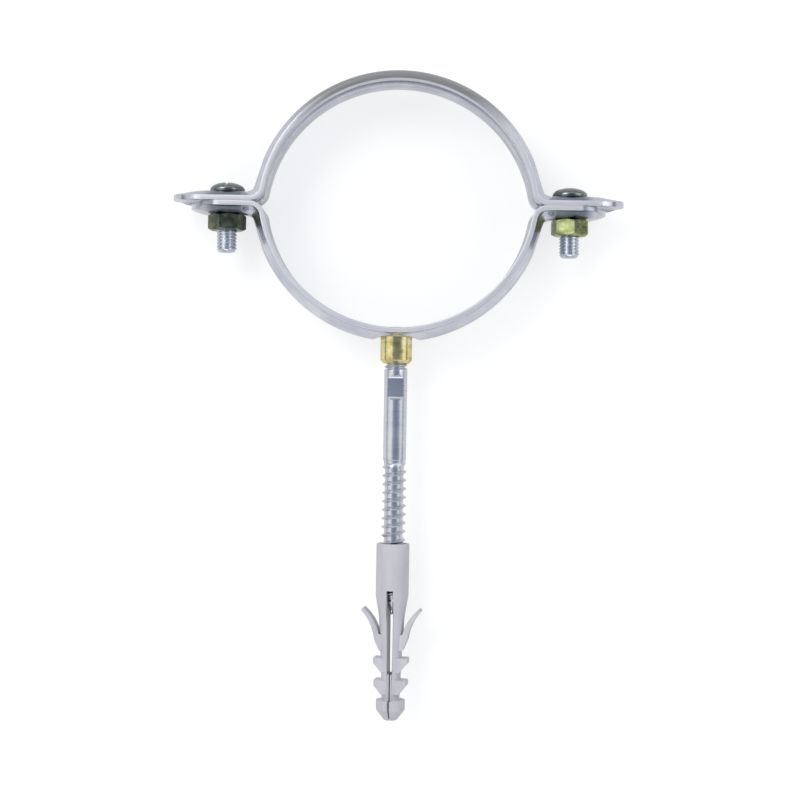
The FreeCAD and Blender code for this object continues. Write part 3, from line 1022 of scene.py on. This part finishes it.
# The window and the slit run a little into the slot between them, so that no skin is left
lap = 10 * hair
worked(plug, "DIFFERENCE",
       lathe([(0, -past), (bore_radius + mouth_bevel, -past), (bore_radius + mouth_bevel, 0),
              (bore_radius, mouth_bevel), (bore_radius, straight), (slot_top, bore_end), (0, bore_end)]),
       block((-window_half, -2 * barrel, window_start), (window_half, 2 * barrel, window_end + lap)),
       plate([(-slot_top, window_end), (slot_top, window_end),
              (slot_low, slot_end), (-slot_low, slot_end)], 4 * barrel),
       block((-slit_half, -2 * barrel, slot_end - lap), (slit_half, 2 * barrel, plug_length + past)))
finish_piece(plug, "plug", "wall_plug", nylon, edge=0.12 * mm, limit=35,
             place=to_wall @ Matrix.Translation((0, 0, mouth)) @ Matrix.Rotation(plug_turn, 4, "Z"))

# %% [markdown]
# ## Studio
#
# The picture looks straight down on the bracket, which lies on a white table under soft light.
# The table keeps the bracket's shadow. Its white is its own grey under the lamps and a glow
# that only the camera and reflections see, and the glow is what lightens the upright faces.

# %% The table
table_size, table_depth = 1.6, 2 * mm
table_grey = (0.45, 0.45, 0.45, 1)
glow_seen, glow_mirrored = 0.66, 0.46
table = new_piece("table_top", block((-table_size, -table_size, -half_width - table_depth),
                                     (table_size, table_size, -half_width)))

paper = Finish("white_table", Base_Color=table_grey, Roughness=1.0, Specular_IOR_Level=0.0,
               Emission_Strength=1.0)
seen, mirrored = [paper.node("ShaderNodeLightPath", {}, {}, ray)
                  for ray in ("Is Camera Ray", "Is Glossy Ray")]
table.data.materials.append(paper.feed(Emission_Color=seen * glow_seen + mirrored * glow_mirrored))
print("the table is", table_size * 2, "m wide")

# %% [markdown]
# Bright metal has no colour of its own: it shows what is round it. So the world is white for
# the camera alone. For reflections it is a room with a dark horizon, bright walls and ceiling,
# and a slate hood round the camera that is tilted a little to +X. The dark parts draw the dark
# lines that make plated steel look like metal.

# %% The world
horizon_low, horizon_high, wall_tone = (0.16, 0.17, 0.19), (0.15, 0.17, 0.20), (0.95, 0.95, 0.96)
horizon_top, wall_start = 0.13, 0.27
hood_tone = (0.21, 0.26, 0.35)
hood_tilt, hood_edge, hood_core = math.radians(11), math.radians(42), math.radians(33)
white = (1.0, 1.0, 1.0)

world = bpy.data.worlds.new("studio")
bpy.context.scene.world = world
world.use_nodes = True
studio = Tree(world.node_tree)
direction = studio.node("ShaderNodeTexCoord", {}, {}, "Generated")
height = studio.node("ShaderNodeSeparateXYZ", {}, {0: direction}, "Z")
walls = studio.ramp(height, (0.0, horizon_low), (horizon_top, horizon_high), (wall_start, wall_tone),
                    (1.0, white))
facing = studio.node("ShaderNodeVectorMath", {"operation": "DOT_PRODUCT"},
                     {0: direction, 1: (math.sin(hood_tilt), 0, math.cos(hood_tilt))}, "Value")
hood = studio.share(facing, math.cos(hood_edge), math.cos(hood_core))
sky = studio.mix(hood, walls, hood_tone)
camera_ray = studio.node("ShaderNodeLightPath", {}, {}, "Is Camera Ray")
studio.link("Background", Color=studio.mix(camera_ray, sky, white))
print("the hood reaches", round(math.degrees(hood_edge)), "degrees from its middle")

# %% [markdown]
# Three soft lamps stand round the table: the key and the fill behind the ring at its left and
# right, and a low rim light on the wall's side. They are weak, because most of the light comes
# from the world. The camera hangs over the hanger screw's upper end with a long lens, and it
# is turned by a degree, because the bracket lies a little askew in the picture.

# %% Lamps and camera
def softbox(name, at, size, power, aim=(0, -0.04, 0)):
    lamp = bpy.data.lights.new(name, "AREA")
    lamp.shape = "RECTANGLE"
    lamp.size, lamp.size_y = size
    lamp.energy = power
    holder = bpy.data.objects.new(name, lamp)
    holder.location = at
    holder.rotation_euler = (Vector(aim) - Vector(at)).to_track_quat("-Z", "Y").to_euler()
    bpy.context.scene.collection.objects.link(holder)


softbox("key", (-0.55, 0.45, 0.75), (0.5, 0.5), 3.2)
softbox("fill", (0.7, 0.25, 0.55), (0.35, 0.6), 1.2)
softbox("rim", (0.1, -0.85, 0.45), (0.9, 0.2), 1.0)

eye, camera_turn = (0.0014, -0.0588, 0.510), math.radians(0.95)
camera = bpy.data.cameras.new("camera")
camera.sensor_width = 36.0
camera.lens = 75.6
camera.clip_start = 0.01
view = bpy.data.objects.new("camera", camera)
view.location = eye
view.rotation_euler = (0, 0, camera_turn)
bpy.context.scene.collection.objects.link(view)
bpy.context.scene.camera = view
bpy.context.scene.view_settings.view_transform = "Standard"
print("three lamps, one camera")
